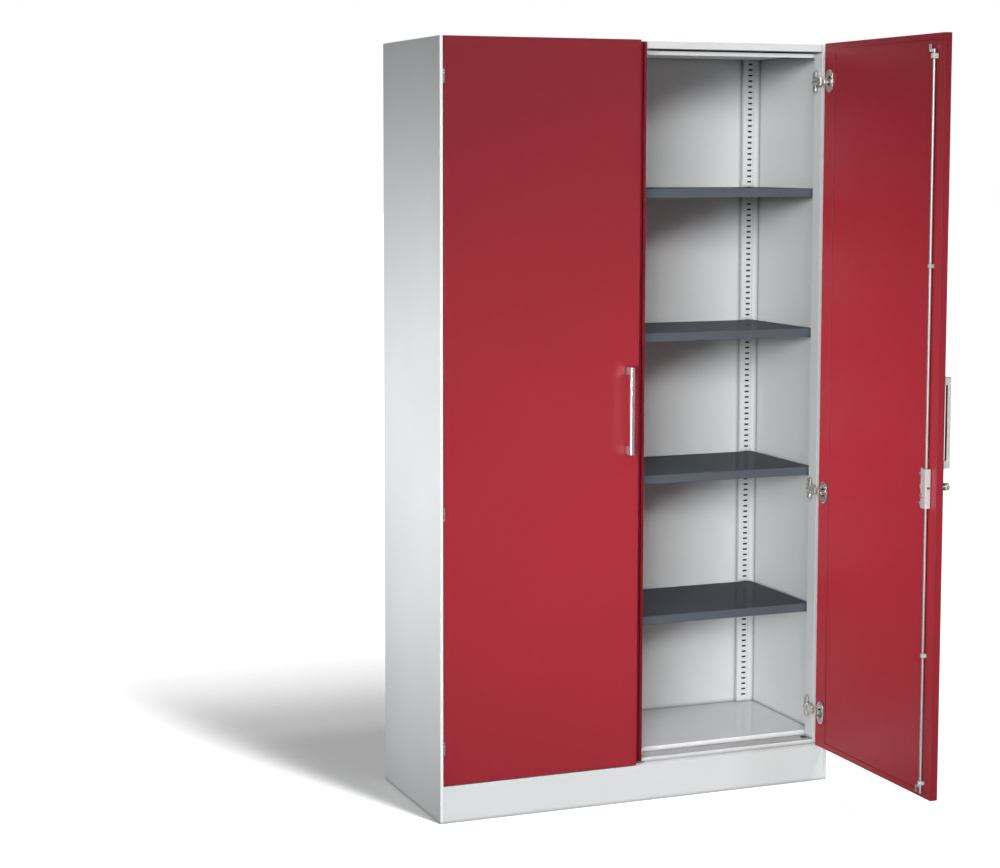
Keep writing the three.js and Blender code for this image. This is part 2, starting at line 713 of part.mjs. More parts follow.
const throughDoor = [FRONT - PAST, DOOR_BACK + PAST];
const lockHole = cylinder("y", LOCK_R + ROD_CLEAR, ...throughDoor, [LOCK_X, LOCK_Z], 28);
place(rightDoor, "door_skin_right", cut(doorSkin(RIGHT_DOOR_WIDTH), lockHole), RUBY_RED);
place(rightDoor, "door_inner_right", cut(doorInner(RIGHT_DOOR_WIDTH), lockHole), RUBY_RED);
place(rightDoor, "handle_right", handle(LOCK_X), SATIN);
place(rightDoor, "lock_case", lockCase(), ZINC);
place(rightDoor, "lock_rosette", lockRosette(), NICKEL);
place(rightDoor, "lock_cylinder", lockCylinder(), NICKEL);
place(rightDoor, "lock_rod_upper", lockRod(UPPER_ROD), ZINC);
place(rightDoor, "lock_rod_lower", lockRod(LOWER_ROD), ZINC);
for (const [level, guide] of Object.entries(ROD_GUIDES)) {
  place(rightDoor, "rod_guide_" + level, rodGuide(guide), PALE_PLASTIC);
}

const leftHandleX = DOOR_EDGE - LEFT_DOOR_WIDTH + LOCK_FROM_EDGE;
place(leftDoor, "door_skin_left", mirrored(doorSkin(LEFT_DOOR_WIDTH)), RUBY_RED);
place(leftDoor, "door_inner_left", mirrored(doorInner(LEFT_DOOR_WIDTH)), RUBY_RED);
place(leftDoor, "strike_strip", strikeStrip(), RUBY_RED);
place(leftDoor, "handle_left", handle(-leftHandleX), SATIN);

for (const [level, z] of Object.entries(HINGE_HEIGHTS)) {
  place(rightDoor, "hinge_cup_" + level + "_right", hingeCup(z), NICKEL);
  place(leftDoor, "hinge_cup_" + level + "_left", mirrored(hingeCup(z)), NICKEL);
}

const topReturn = TOP_SURFACE - TOP_FACE_HEIGHT;
const topKeeper = rodKeeper(topReturn - GAP - KEEPER_PLATE.thick, KEEPER_PIN_LOW_TOP, topReturn - SHEET);
place(carcass, "rod_keeper_top", topKeeper, ZINC);
const bottomKeeper = rodKeeper(LEDGE_TOP + GAP, LEDGE_TOP + SHEET, KEEPER_PIN_HIGH_BOTTOM);
place(carcass, "rod_keeper_bottom", bottomKeeper, ZINC);
place(carcass, "left_door_glide", doorGlide(), BLACK_PLASTIC);

export default cabinet;
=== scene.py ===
# Looks of a two-door sheet-steel storage cabinet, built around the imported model.
# Metres, +Z up, +X to the right, +Y to the back. The left door is shut, the right one open.

import json
import math

import bmesh
import bpy
from mathutils import Matrix, Vector

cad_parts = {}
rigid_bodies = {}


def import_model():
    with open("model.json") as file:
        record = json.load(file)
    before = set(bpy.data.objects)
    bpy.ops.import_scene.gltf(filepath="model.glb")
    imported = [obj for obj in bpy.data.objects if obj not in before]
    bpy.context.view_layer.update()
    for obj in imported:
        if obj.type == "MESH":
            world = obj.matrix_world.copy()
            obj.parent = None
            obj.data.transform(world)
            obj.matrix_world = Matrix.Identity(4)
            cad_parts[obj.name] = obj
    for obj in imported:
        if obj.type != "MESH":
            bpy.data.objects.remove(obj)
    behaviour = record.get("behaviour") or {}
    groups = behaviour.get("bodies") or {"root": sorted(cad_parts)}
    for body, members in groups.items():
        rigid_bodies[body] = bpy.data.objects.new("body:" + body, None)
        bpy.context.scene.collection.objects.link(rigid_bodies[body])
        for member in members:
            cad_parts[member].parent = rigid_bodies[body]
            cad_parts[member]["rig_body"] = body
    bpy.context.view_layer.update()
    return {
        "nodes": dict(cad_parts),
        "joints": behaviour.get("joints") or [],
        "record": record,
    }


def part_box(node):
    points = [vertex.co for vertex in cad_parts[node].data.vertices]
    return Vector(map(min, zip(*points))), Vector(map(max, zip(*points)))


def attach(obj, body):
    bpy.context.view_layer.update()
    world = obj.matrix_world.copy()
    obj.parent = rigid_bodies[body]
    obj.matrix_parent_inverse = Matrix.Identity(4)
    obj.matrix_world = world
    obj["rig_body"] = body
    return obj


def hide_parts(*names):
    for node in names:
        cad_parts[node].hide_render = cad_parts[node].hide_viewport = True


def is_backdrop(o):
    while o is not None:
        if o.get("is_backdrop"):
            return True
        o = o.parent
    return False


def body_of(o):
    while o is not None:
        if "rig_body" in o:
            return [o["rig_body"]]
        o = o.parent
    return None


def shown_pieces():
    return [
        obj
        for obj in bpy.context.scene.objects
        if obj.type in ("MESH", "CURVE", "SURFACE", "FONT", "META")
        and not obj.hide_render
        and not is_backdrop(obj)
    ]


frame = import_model()

MM = 0.001
LEVELS = ("bottom", "middle", "top")
SIDES = ("left", "right")
SHELVES = ("shelf_1", "shelf_2", "shelf_3", "shelf_4")
GUIDES = ("rod_guide_top", "rod_guide_upper", "rod_guide_lower", "rod_guide_bottom")

X_AXIS = Vector((1, 0, 0))
Y_AXIS = Vector((0, 1, 0))
Z_AXIS = Vector((0, 0, 1))
MIRROR_X = Matrix.Scale(-1, 4, X_AXIS)


# ---- camera ----
CAMERA_PLACE = (-2.381, -4.944, 1.652)
CAMERA_PITCH = math.radians(-5.16)
CAMERA_YAW = -0.3682
CAMERA_LENS = 77.7
SENSOR_WIDTH = 36
CAMERA_SHIFT = (0.0339, -0.08)


def add_camera():
    data = bpy.data.cameras.new("camera")
    data.sensor_width = SENSOR_WIDTH
    data.lens = CAMERA_LENS
    data.shift_x, data.shift_y = CAMERA_SHIFT
    camera = bpy.data.objects.new("camera", data)
    camera.location = CAMERA_PLACE
    camera.rotation_euler = (math.pi / 2 + CAMERA_PITCH, 0, CAMERA_YAW)
    bpy.context.scene.collection.objects.link(camera)
    bpy.context.scene.camera = camera


# ---- materials ----
class Finish:
    """A Principled material whose variation comes from noise in object space; it can also darken its colour in
    creases as painted shade.
    """

    def __init__(self, name, metallic=0.0, specular=0.5):
        self.material = bpy.data.materials.new(name)
        self.material.use_nodes = True
        self.tree = self.material.node_tree
        self.tree.nodes.clear()
        output = self.tree.nodes.new("ShaderNodeOutputMaterial")
        self.surface = self.tree.nodes.new("ShaderNodeBsdfPrincipled")
        self.surface.inputs["Metallic"].default_value = metallic
        self.surface.inputs["Specular IOR Level"].default_value = specular
        self.link(self.surface.outputs["BSDF"], output.inputs["Surface"])
        self.place = self.tree.nodes.new("ShaderNodeTexCoord").outputs["Object"]
        self.normal = None

    def link(self, source, target):
        self.tree.links.new(source, target)

    def stretched(self, scales):
        mapping = self.tree.nodes.new("ShaderNodeMapping")
        mapping.inputs["Scale"].default_value = scales
        self.link(self.place, mapping.inputs["Vector"])
        return mapping.outputs["Vector"]

    def noise(self, scale, detail=2.0, place=None):
        node = self.tree.nodes.new("ShaderNodeTexNoise")
        node.inputs["Scale"].default_value = scale
        node.inputs["Detail"].default_value = detail
        self.link(place or self.place, node.inputs["Vector"])
        return node.outputs["Fac"]

    def cells(self, scale):
        node = self.tree.nodes.new("ShaderNodeTexVoronoi")
        node.inputs["Scale"].default_value = scale
        self.link(self.place, node.inputs["Vector"])
        return node.outputs["Color"]

    def colours(self, pattern, dark, light, low=0.3, high=0.7):
        ramp = self.tree.nodes.new("ShaderNodeValToRGB")
        ramp.color_ramp.elements[0].position = low
        ramp.color_ramp.elements[1].position = high
        ramp.color_ramp.elements[0].color = (*dark, 1)
        ramp.color_ramp.elements[1].color = (*light, 1)
        self.link(pattern, ramp.inputs["Fac"])
        self.link(ramp.outputs["Color"], self.surface.inputs["Base Color"])

    def painted_crevice_shade(self, reach):
        """Painted shade: darkens the base colour where other surfaces are closer than reach, in corners, creases
        and gaps.
        """
        base = self.surface.inputs["Base Color"]
        nearby = self.tree.nodes.new("ShaderNodeAmbientOcclusion")
        nearby.samples = 4
        nearby.inputs["Distance"].default_value = reach
        self.link(base.links[0].from_socket, nearby.inputs["Color"])
        self.link(nearby.outputs["Color"], base)

    def roughness(self, pattern, low, high):
        spread = self.tree.nodes.new("ShaderNodeMapRange")
        spread.inputs["From Min"].default_value = 0.3
        spread.inputs["From Max"].default_value = 0.7
        spread.inputs["To Min"].default_value = low
        spread.inputs["To Max"].default_value = high
        self.link(pattern, spread.inputs["Value"])
        self.link(spread.outputs["Result"], self.surface.inputs["Roughness"])

    def relief(self, pattern, depth, strength=1.0):
        bump = self.tree.nodes.new("ShaderNodeBump")
        bump.inputs["Distance"].default_value = depth
        bump.inputs["Strength"].default_value = strength
        self.link(pattern, bump.inputs["Height"])
        if self.normal:
            self.link(self.normal, bump.inputs["Normal"])
        self.normal = bump.outputs["Normal"]
        self.link(self.normal, self.surface.inputs["Normal"])


def shade(colour, factor):
    return tuple(channel * factor for channel in colour)


def powder_coat(name, colour, rough, peel, specular=0.5, shade_reach=10 * MM):
    """Stoved powder paint: faint clouding, painted shade in creases and gaps, a fine orange peel and a still finer
    grain.
    """
    finish = Finish(name, specular=specular)
    finish.colours(finish.noise(3.0), shade(colour, 0.97), shade(colour, 1.03))
    finish.painted_crevice_shade(shade_reach)
    finish.roughness(finish.noise(40.0, 3.0), rough - 0.02, rough + 0.03)
    finish.relief(finish.noise(420.0, 1.0), peel)
    finish.relief(finish.noise(1900.0, 1.0), peel / 8)
    return finish.material


def brushed_metal(name, colour, rough, grain):
    """Metal brushed along Z: fine streaks in its roughness and relief, and painted shade in its creases."""
    finish = Finish(name, metallic=1.0)
    streaks = finish.noise(1.0, 3.0, finish.stretched(grain))
    finish.colours(streaks, shade(colour, 0.94), shade(colour, 1.04))
    finish.painted_crevice_shade(30 * MM)
    finish.roughness(streaks, rough - 0.05, rough + 0.07)
    finish.relief(streaks, 0.01 * MM)
    return finish.material


def plated_metal(name, colour, rough, crystal, metallic=1.0):
    """Plated steel: soft crystal patches, painted shade in its creases and a little unevenness in the gloss."""
    finish = Finish(name, metallic=metallic)
    finish.colours(finish.cells(crystal), shade(colour, 0.93), shade(colour, 1.03))
    finish.painted_crevice_shade(5 * MM)
    finish.roughness(finish.noise(160.0, 2.0), rough - 0.05, rough + 0.06)
    finish.relief(finish.noise(260.0, 2.0), 0.02 * MM)
    return finish.material


def moulded_plastic(name, colour, rough):
    """Moulded plastic with a spark-eroded grain."""
    finish = Finish(name, specular=0.25)
    finish.colours(finish.noise(60.0), shade(colour, 0.9), shade(colour, 1.1))
    finish.roughness(finish.noise(300.0), rough - 0.05, rough + 0.05)
    finish.relief(finish.noise(1500.0, 3.0), 0.03 * MM)
    return finish.material


GREY = (0.455, 0.47, 0.475)
RED = (0.104, 0.0056, 0.0094)
ANTHRACITE = (0.044, 0.052, 0.062)
PEEL = 0.012 * MM

MATERIALS = {
    "grey_powder_coat": powder_coat("grey_powder_coat", GREY, 0.34, PEEL),
    "red_powder_coat": powder_coat("red_powder_coat", RED, 0.36, PEEL, 0.28, 3 * MM),
    "anthracite_powder_coat": powder_coat("anthracite_powder_coat", ANTHRACITE, 0.12, PEEL / 3, 0.0),
    "satin_handle": brushed_metal("satin_handle", (0.80, 0.78, 0.76), 0.28, (900, 900, 12)),
    "nickel": plated_metal("nickel", (0.76, 0.74, 0.69), 0.24, 700, 0.82),
    "zinc_plate": plated_metal("zinc_plate", (0.72, 0.72, 0.70), 0.42, 450),
    "black_plastic": moulded_plastic("black_plastic", (0.012, 0.012, 0.013), 0.45),
    "pale_plastic": moulded_plastic("pale_plastic", (0.62, 0.62, 0.58), 0.4),
}
SHELF_COAT = MATERIALS["anthracite_powder_coat"].node_tree.nodes["Principled BSDF"]
SHELF_COAT.inputs["Coat Weight"].default_value = 0.14
SHELF_COAT.inputs["Coat Roughness"].default_value = 0.03
SHADOW_GAP = moulded_plastic("shadow_gap", (0.02, 0.022, 0.024), 0.7)
OWN_FINISHES = {
    "floor_panel": powder_coat("grey_gloss", GREY, 0.07, PEEL / 3, 0.8),
    "strike_strip": powder_coat("red_satin", RED, 0.45, PEEL, 0.05, 5 * MM),
    "lock_case": plated_metal("pale_zinc", (0.72, 0.72, 0.71), 0.42, 450, 0.55),
}


# ---- meshes ----
class Shape:
    """Collects rounded boxes, turned pieces and cut-out plates into one mesh."""

    def __init__(self, transform=None):
        self.bm = bmesh.new()
        self.transform = transform or Matrix.Identity(4)
        self.index = 0

    def paint(self, index):
        self.index = index
        return self

    def finish_part(self, verts, radius, segments=2):
        faces = {face for vert in verts for face in vert.link_faces}
        for face in faces:
            face.material_index = self.index
        if radius:
            sharp = [e for e in {edge for face in faces for edge in face.edges}
                     if e.calc_face_angle(0) > math.radians(30)]
            bmesh.ops.bevel(self.bm, geom=sharp, offset=radius, segments=segments, profile=0.5,
                            affect="EDGES", clamp_overlap=True, material=self.index)
        return self

    def box(self, low, high, radius=0.0):
        low, high = Vector(low), Vector(high)
        size = Matrix.Diagonal((*(high - low), 1))
        middle = Matrix.Translation((low + high) / 2)
        made = bmesh.ops.create_cube(self.bm, size=1, matrix=middle @ size)
        return self.finish_part(made["verts"], radius)

    def rod(self, start, end, radius, rounding=0.0, segments=32):
        start, end = Vector(start), Vector(end)
        along = end - start
        turn = along.to_track_quat("Z", "Y").to_matrix().to_4x4()
        made = bmesh.ops.create_cone(
            self.bm, cap_ends=True, segments=segments, radius1=radius, radius2=radius,
            depth=along.length, matrix=Matrix.Translation((start + end) / 2) @ turn)
        return self.finish_part(made["verts"], rounding)

    def plate(self, outline, origin, across, up, normal, thick, radius=0.0):
        """A flat plate: outline points (a, b) along across and up, thickened along normal."""
        origin = Vector(origin)
        bottom = [self.bm.verts.new(origin + across * a + up * b) for a, b in outline]
        face = self.bm.faces.new(bottom)
        made = bmesh.ops.extrude_face_region(self.bm, geom=[face])
        moved = [item for item in made["geom"] if isinstance(item, bmesh.types.BMVert)]
        bmesh.ops.translate(self.bm, verts=moved, vec=normal * thick)
        faces = {f for vert in [*bottom, *moved] for f in vert.link_faces}
        bmesh.ops.recalc_face_normals(self.bm, faces=list(faces))
        return self.finish_part([*bottom, *moved], radius)

    def screw(self, centre, axis, radius, height):
        """Pan head with a cross recess shown as two inlaid dark bars of material 1, painted shade of the recess.
        """
        centre, axis = Vector(centre), Vector(axis)
        kept = self.index
        self.rod(centre, centre + axis * height, radius, height * 0.6)
        self.paint(1)
        top = centre + axis * (height + 0.02 * MM)
        first = axis.orthogonal().normalized()
        for arm in (first, axis.cross(first)):
            side = axis.cross(arm)
            half, thin = arm * radius * 0.6, side * radius * 0.14
            ends = [top + half + thin, top - half + thin, top - half - thin, top + half - thin]
            self.slab(ends, axis * -0.2 * MM)
        return self.paint(kept)

    def slab(self, corners, drop):
        """A thin four-cornered slab from its top corners down by drop."""
        top = [self.bm.verts.new(point) for point in corners]
        bottom = [self.bm.verts.new(point + drop) for point in corners]
        faces = [self.bm.faces.new(top), self.bm.faces.new(bottom[::-1])]
        for i in range(4):
            j = (i + 1) % 4
            faces.append(self.bm.faces.new((top[i], bottom[i], bottom[j], top[j])))
        bmesh.ops.recalc_face_normals(self.bm, faces=faces)
        for face in faces:
            face.material_index = self.index
        return self

    def piece(self, name, body, slot, *materials, stands_for=()):
        self.bm.transform(self.transform)
        if self.transform.determinant() < 0:
            bmesh.ops.reverse_faces(self.bm, faces=self.bm.faces)
        for face in self.bm.faces:
            face.smooth = True
        mesh = bpy.data.meshes.new(name)
        self.bm.to_mesh(mesh)
        self.bm.free()
        for material in (MATERIALS[slot], *materials):
            mesh.materials.append(material)
        made = bpy.data.objects.new(name, mesh)
        bpy.context.scene.collection.objects.link(made)
        even_normals(made)
        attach(made, body)
        if stands_for:
            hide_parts(*stands_for)
        return made


def even_normals(made):
    weighted = made.modifiers.new("even_normals", "WEIGHTED_NORMAL")
    weighted.keep_sharp = True
    weighted.weight = 100


def stadium(width, height, steps=10):
    """Outline of a slot-ended plate, width across and height up, about its middle."""
    radius = width / 2
    rise = height / 2 - radius
    points = []
    for centre, start in ((rise, 0.0), (-rise, math.pi)):
        for i in range(steps + 1):
            angle = start + math.pi * i / steps
            points.append((radius * math.cos(angle), centre + radius * math.sin(angle)))
    return points


# ---- finishes of the CAD nodes ----
NODE_ROUNDING = {
    "grey_powder_coat": 0.35 * MM,
    "anthracite_powder_coat": 0.35 * MM,
    "red_powder_coat": 0.45 * MM,
    "satin_handle": 1.2 * MM,
    "zinc_plate": 0.4 * MM,
    "nickel": 0.4 * MM,
    "black_plastic": 0.3 * MM,
    "pale_plastic": 0.5 * MM,
}


def round_edges(node, width):
    """Joins the flat facets of a CAD node and rounds its sharp edges, as modifiers."""
    weld = node.modifiers.new("weld", "WELD")
    weld.merge_threshold = 1e-6
    flat = node.modifiers.new("flat_faces", "DECIMATE")
    flat.decimate_type = "DISSOLVE"
    flat.angle_limit = math.radians(0.5)
    bevel = node.modifiers.new("rounded_edges", "BEVEL")
    bevel.width = width
    bevel.segments = 2
    bevel.limit_method = "ANGLE"
    bevel.angle_limit = math.radians(35)
    bevel.use_clamp_overlap = True
    even_normals(node)
    for polygon in node.data.polygons:
        polygon.use_smooth = True


def finish_nodes():
    for subpart in frame["record"]["subparts"]:
        node = frame["nodes"][subpart["node"]]
        slot = subpart["material_slot"]
        node.data.materials.clear()
        node.data.materials.append(OWN_FINISHES.get(subpart["node"], MATERIALS[slot]))
        round_edges(node, NODE_ROUNDING[slot])


# ---- where the doors stand ----
def joint_axis(name):
    found = next(joint for joint in frame["joints"] if joint["name"] == name)
    return Vector(found["pos_m"])


RIGHT_DOOR_OPEN = math.pi / 2
RIGHT_AXIS = joint_axis("right_door_hinge")
TO_OPEN = (
    Matrix.Translation(RIGHT_AXIS)
    @ Matrix.Rotation(RIGHT_DOOR_OPEN, 4, "Z")
    @ Matrix.Translation(-RIGHT_AXIS)
)
CARCASS_TURNS = {"left": MIRROR_X, "right": Matrix.Identity(4)}
DOOR_TURNS = {"left": MIRROR_X, "right": TO_OPEN}
DOOR_BODIES = {"left": "left_door", "right": "right_door"}

DOOR_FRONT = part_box("door_skin_left")[0].y
DOOR_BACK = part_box("door_skin_left")[1].y
DOOR_EDGE = -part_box("door_skin_left")[0].x
POST_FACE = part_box("front_post_right")[0].x


def middle_z(node):
    low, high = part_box(node)
    return (low.z + high.z) / 2


# ---- concealed hinges ----
CUP_FROM_EDGE = 27 * MM
CUP_RADIUS = 16.7 * MM
CUP_POCKET = 14.6 * MM
CUP_DEEP = 14 * MM
FLANGE_SIZE = (32 * MM, 60 * MM)
FLANGE_THICK = 3 * MM
MOUTH = 12.5 * MM
NOTCH_HALF = 17.6 * MM
SCREW_RISE = 22 * MM
ARM_FRONT = 3 * MM
ARM_REAR = 44 * MM
ARM_HALF = 10 * MM
ARM_OUT = 16 * MM
ARM_LOW = 8 * MM
PLATE_THICK = 5.6 * MM
PLATE_FRONT = 27 * MM
PLATE_HALF = 28 * MM
PLATE_WAIST = 12 * MM
NOSE_FRONT = -13.5 * MM


def plate_outline():
    """Bow-tie outline of the mounting plate: depth along the post, and height."""
    wing = 4 * MM
    waist_front, waist_rear = PLATE_FRONT + wing / 2, ARM_REAR - wing / 2
    upper = [
        (PLATE_FRONT + wing, PLATE_HALF), (ARM_REAR - wing, PLATE_HALF),
        (ARM_REAR, PLATE_HALF - wing), (ARM_REAR, PLATE_WAIST + wing), (waist_rear, PLATE_WAIST),
    ]
    front = [(waist_front, PLATE_WAIST), (PLATE_FRONT, PLATE_WAIST + wing), (PLATE_FRONT, PLATE_HALF - wing)]
    lower = [(y, -z) for y, z in reversed(upper)]
    lower_front = [(y, -z) for y, z in reversed(front)]
    return [*upper, *lower, *lower_front, *front]


def arm_out(y):
    """How far the sloping arm stands off the post at a depth."""
    return ARM_OUT + (ARM_LOW - ARM_OUT) * (y - ARM_FRONT) / (ARM_REAR - ARM_FRONT)


def hinge_arm(level, side):
    """Winged mounting plate, sloping arm with its two adjusting screws, and the nose pins."""
    node = f"hinge_arm_{level}_{side}"
    z = middle_z(node)
    face = POST_FACE - 0.3 * MM
    shape = Shape(CARCASS_TURNS[side])
    shape.plate(plate_outline(), (face, 0, z), Y_AXIS, Z_AXIS, -X_AXIS, PLATE_THICK, MM)
    rear = ARM_REAR - 3 * MM
    slope = [(NOSE_FRONT, 9 * MM), (NOSE_FRONT, ARM_OUT), (ARM_FRONT, ARM_OUT), (rear, arm_out(rear)), (rear, MM),
             (ARM_FRONT + 5 * MM, MM), (ARM_FRONT + 2 * MM, 9 * MM)]
    shape.plate(slope, (POST_FACE, 0, z - ARM_HALF), Y_AXIS, -X_AXIS, Z_AXIS, 2 * ARM_HALF, 0.7 * MM)
    for y in (ARM_FRONT + 12 * MM, ARM_REAR - 11 * MM):
        shape.screw((POST_FACE - arm_out(y), y, z), -X_AXIS, 3.6 * MM, 0.7 * MM)
    for flip in (-1, 1):
        screw_z = z + flip * (PLATE_HALF - 8 * MM)
        shape.screw((face - PLATE_THICK, (PLATE_FRONT + ARM_REAR) / 2, screw_z), -X_AXIS, 3.4 * MM, 0.8 * MM)
    nose = POST_FACE - ARM_OUT + 4 * MM
    for y in (NOSE_FRONT + 3 * MM, NOSE_FRONT + 12 * MM):
        shape.rod((nose, y, z - ARM_HALF - MM), (nose, y, z + ARM_HALF + MM), 2.2 * MM, 0.3 * MM)
    shape.piece(f"hinge_mount_{level}_{side}", "carcass", "nickel", SHADOW_GAP, stands_for=[node])


def hinge_cup(level, side):
    """Pressed cup with its slot-ended flange, two screws, the links' root and the edge lip."""
    node = f"hinge_cup_{level}_{side}"
    z = middle_z(node)
    x = DOOR_EDGE - CUP_FROM_EDGE
    shape = Shape(DOOR_TURNS[side])
    face = DOOR_BACK + 0.2 * MM
    outside = face + FLANGE_THICK
    ring_of_flange(shape, x, z, face, outside)
    cup_bowl(shape, x, z, outside)
    for flip in (-1, 1):
        shape.screw((x, outside - 0.1 * MM, z + flip * SCREW_RISE), Y_AXIS, 4 * MM, 1.2 * MM)
    for offset in (-5.2 * MM, 5.2 * MM):
        low = (x + 2 * MM, DOOR_BACK - 9 * MM, z + offset - 0.8 * MM)
        high = (DOOR_EDGE - 2.5 * MM, outside + 1.7 * MM, z + offset + 0.8 * MM)
        shape.box(low, high, 0.4 * MM)
    pin = (x + 5 * MM, DOOR_BACK - 6 * MM)
    shape.rod((*pin, z - CUP_POCKET * 0.8), (*pin, z + CUP_POCKET * 0.8), 1.6 * MM)
    root = (DOOR_EDGE - 5 * MM, outside - 0.2 * MM)
    shape.rod((*root, z - 6.5 * MM), (*root, z + 6.5 * MM), 1.9 * MM, 0.3 * MM)
    lip_front = DOOR_FRONT + 1.4 * MM
    lip_rear = DOOR_BACK - 1.4 * MM
    shape.box((DOOR_EDGE - 3.4 * MM, lip_front, z - NOTCH_HALF), (DOOR_EDGE - 0.3 * MM, lip_rear, z + NOTCH_HALF),
              0.5 * MM)
    shape.piece(f"hinge_pot_{level}_{side}", DOOR_BODIES[side], "nickel", SHADOW_GAP, stands_for=[node])


def ring_of_flange(shape, x, z, face, outside):
    """Flange between its stadium outline and the cup's mouth, as bridged rings of quads."""
    steps = 40
    rim = []
    width, height = FLANGE_SIZE
    for i in range(steps):
        angle = 2 * math.pi * i / steps
        a, b = math.cos(angle), math.sin(angle)
        rise = height / 2 - width / 2
        reach = width / 2
        side_ray = reach / max(abs(a), 1e-9)
        if abs(b) * side_ray <= rise:
            rim.append((a * side_ray, b * side_ray))
        else:
            drop = abs(b) * rise
            ray = drop + math.sqrt(drop * drop - rise * rise + reach * reach)
            rim.append((a * ray, b * ray))
    mouth = [(MOUTH * math.cos(2 * math.pi * i / steps),
              MOUTH * math.sin(2 * math.pi * i / steps)) for i in range(steps)]
    edge = 0.5 * MM
    shrink = 0.97
    loops = [
        [(a, b, face) for a, b in mouth],
        [(a, b, face) for a, b in rim],
        [(a, b, outside - edge) for a, b in rim],
        [(a * shrink, b * shrink, outside) for a, b in rim],
        [(a, b, outside) for a, b in mouth],
    ]
    rings = [[shape.bm.verts.new((x + a, y, z + b)) for a, b, y in loop] for loop in loops]
    bridge(shape, [*rings, rings[0]])


def cup_bowl(shape, x, z, outside):
    """Turned bowl from the cup's mouth to its bottom, thin-walled and closed."""
    steps = 40
    floor = DOOR_BACK - CUP_DEEP
    profile = [
        (MOUTH - 0.2 * MM, outside - 0.4 * MM), (CUP_POCKET, DOOR_BACK - 2 * MM), (CUP_POCKET, floor + 4 * MM),
        (CUP_POCKET - 3 * MM, floor), (0.5 * MM, floor), (0.5 * MM, floor - MM), (CUP_POCKET - 2 * MM, floor - MM),
        (CUP_RADIUS, floor + 3 * MM), (CUP_RADIUS, DOOR_BACK + 0.1 * MM),
        (MOUTH + 0.5 * MM, outside - 0.5 * MM),
    ]
    rings = []
    for radius, y in profile:
        ring = []
        for i in range(steps):
            angle = 2 * math.pi * i / steps
            ring.append(shape.bm.verts.new((x + radius * math.cos(angle), y, z + radius * math.sin(angle))))
        rings.append(ring)
    bridge(shape, [*rings, rings[0]])


def bridge(shape, rings):
    faces = []
    for first, second in zip(rings, rings[1:]):
        count = len(first)
        for i in range(count):
            j = (i + 1) % count
            faces.append(shape.bm.faces.new((first[i], first[j], second[j], second[i])))
    for face in faces:
        face.material_index = shape.index
    bmesh.ops.recalc_face_normals(shape.bm, faces=faces)


# ---- shelf clips, slits and small fixings ----
CLIP_THICK = 1.5 * MM
CLIP_DROP = 13 * MM
CLIP_WIDTH = 9 * MM
REAR_CLIP = (513 * MM, -16 * MM)
FRONT_CLIP = (524.5 * MM, 24 * MM)
SLIT_PITCH = 7.7 * MM
SLIT_SIZE = (0.8 * MM, 3.2 * MM)
SLIT_FROM_SIDE = 19.5 * MM
# How far inside the rail the black sheet stands, painted shade behind the slots.
SHADE_SHEET_DEEP = 3.2 * MM


def shelf_clips(shelf):
    """Four hooked clips of zinc-plated sheet under the ends of a shelf."""
    low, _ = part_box(shelf)
    rail_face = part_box("rear_rail_right")[0].y
    post_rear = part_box("front_post_right")[1].y
    top = low.z - 0.3 * MM
    shape = Shape()
    for flip in (-1, 1):
        for wall, (inner, reach) in ((rail_face - 0.2 * MM, REAR_CLIP), (post_rear + 0.2 * MM, FRONT_CLIP)):
            left, right = sorted((flip * inner, flip * (inner + CLIP_WIDTH)))
            tongue = sorted((wall, wall + reach))
            shape.box((left, tongue[0], top - CLIP_THICK), (right, tongue[1], top), 0.3 * MM)
            plate = sorted((wall, wall + math.copysign(CLIP_THICK, reach)))
            shape.box((left, plate[0], top - CLIP_DROP), (right, plate[1], top - CLIP_THICK / 2), 0.3 * MM)
    shape.piece(f"{shelf}_clips", "carcass", "zinc_plate")


def rail_slit_shade(side):
    """Fine slits down the fold of a rear rail, drawn as black marks, and a black sheet inside the rail behind its
    slots; both are painted shade.
    """
    low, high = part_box("rear_rail_right")
    x = high.x - SLIT_FROM_SIDE
    shape = Shape(CARCASS_TURNS[side])
    width, height = SLIT_SIZE
    count = int((high.z - low.z) / SLIT_PITCH) - 2
    for i in range(count):
        z = low.z + (i + 1) * SLIT_PITCH
        shape.box((x - width / 2, low.y - 0.1 * MM, z), (x + width / 2, low.y + 0.3 * MM, z + height))
    shade_sheet_y = low.y + SHADE_SHEET_DEEP
    shape.box((low.x + 3 * MM, shade_sheet_y, low.z + MM), (high.x - 3 * MM, shade_sheet_y + 0.3 * MM, high.z - MM))
    shape.piece(f"rail_slits_{side}", "carcass", "black_plastic")


def lock_details():
    """Screws on the lock case and the pin that carries its cam."""
    low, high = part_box("lock_case")
    face = low.x
    middle_y = (low.y + high.y) / 2
    shape = Shape()
    for z in (low.z + 12 * MM, high.z - 12 * MM):
        shape.screw((face, high.y - 9 * MM, z), -X_AXIS, 3.6 * MM, 1.2 * MM)
    shape.rod((face, middle_y, low.z + 30 * MM), (face - 2 * MM, middle_y, low.z + 30 * MM), 4 * MM, 0.6 * MM)
    shape.piece("lock_case_screws", "right_door", "zinc_plate", SHADOW_GAP)


KNOB_OUT = 35 * MM
KNOB_LONG = 12 * MM
KNOB_RADIUS = 9 * MM
KNOB_NECK = 5 * MM


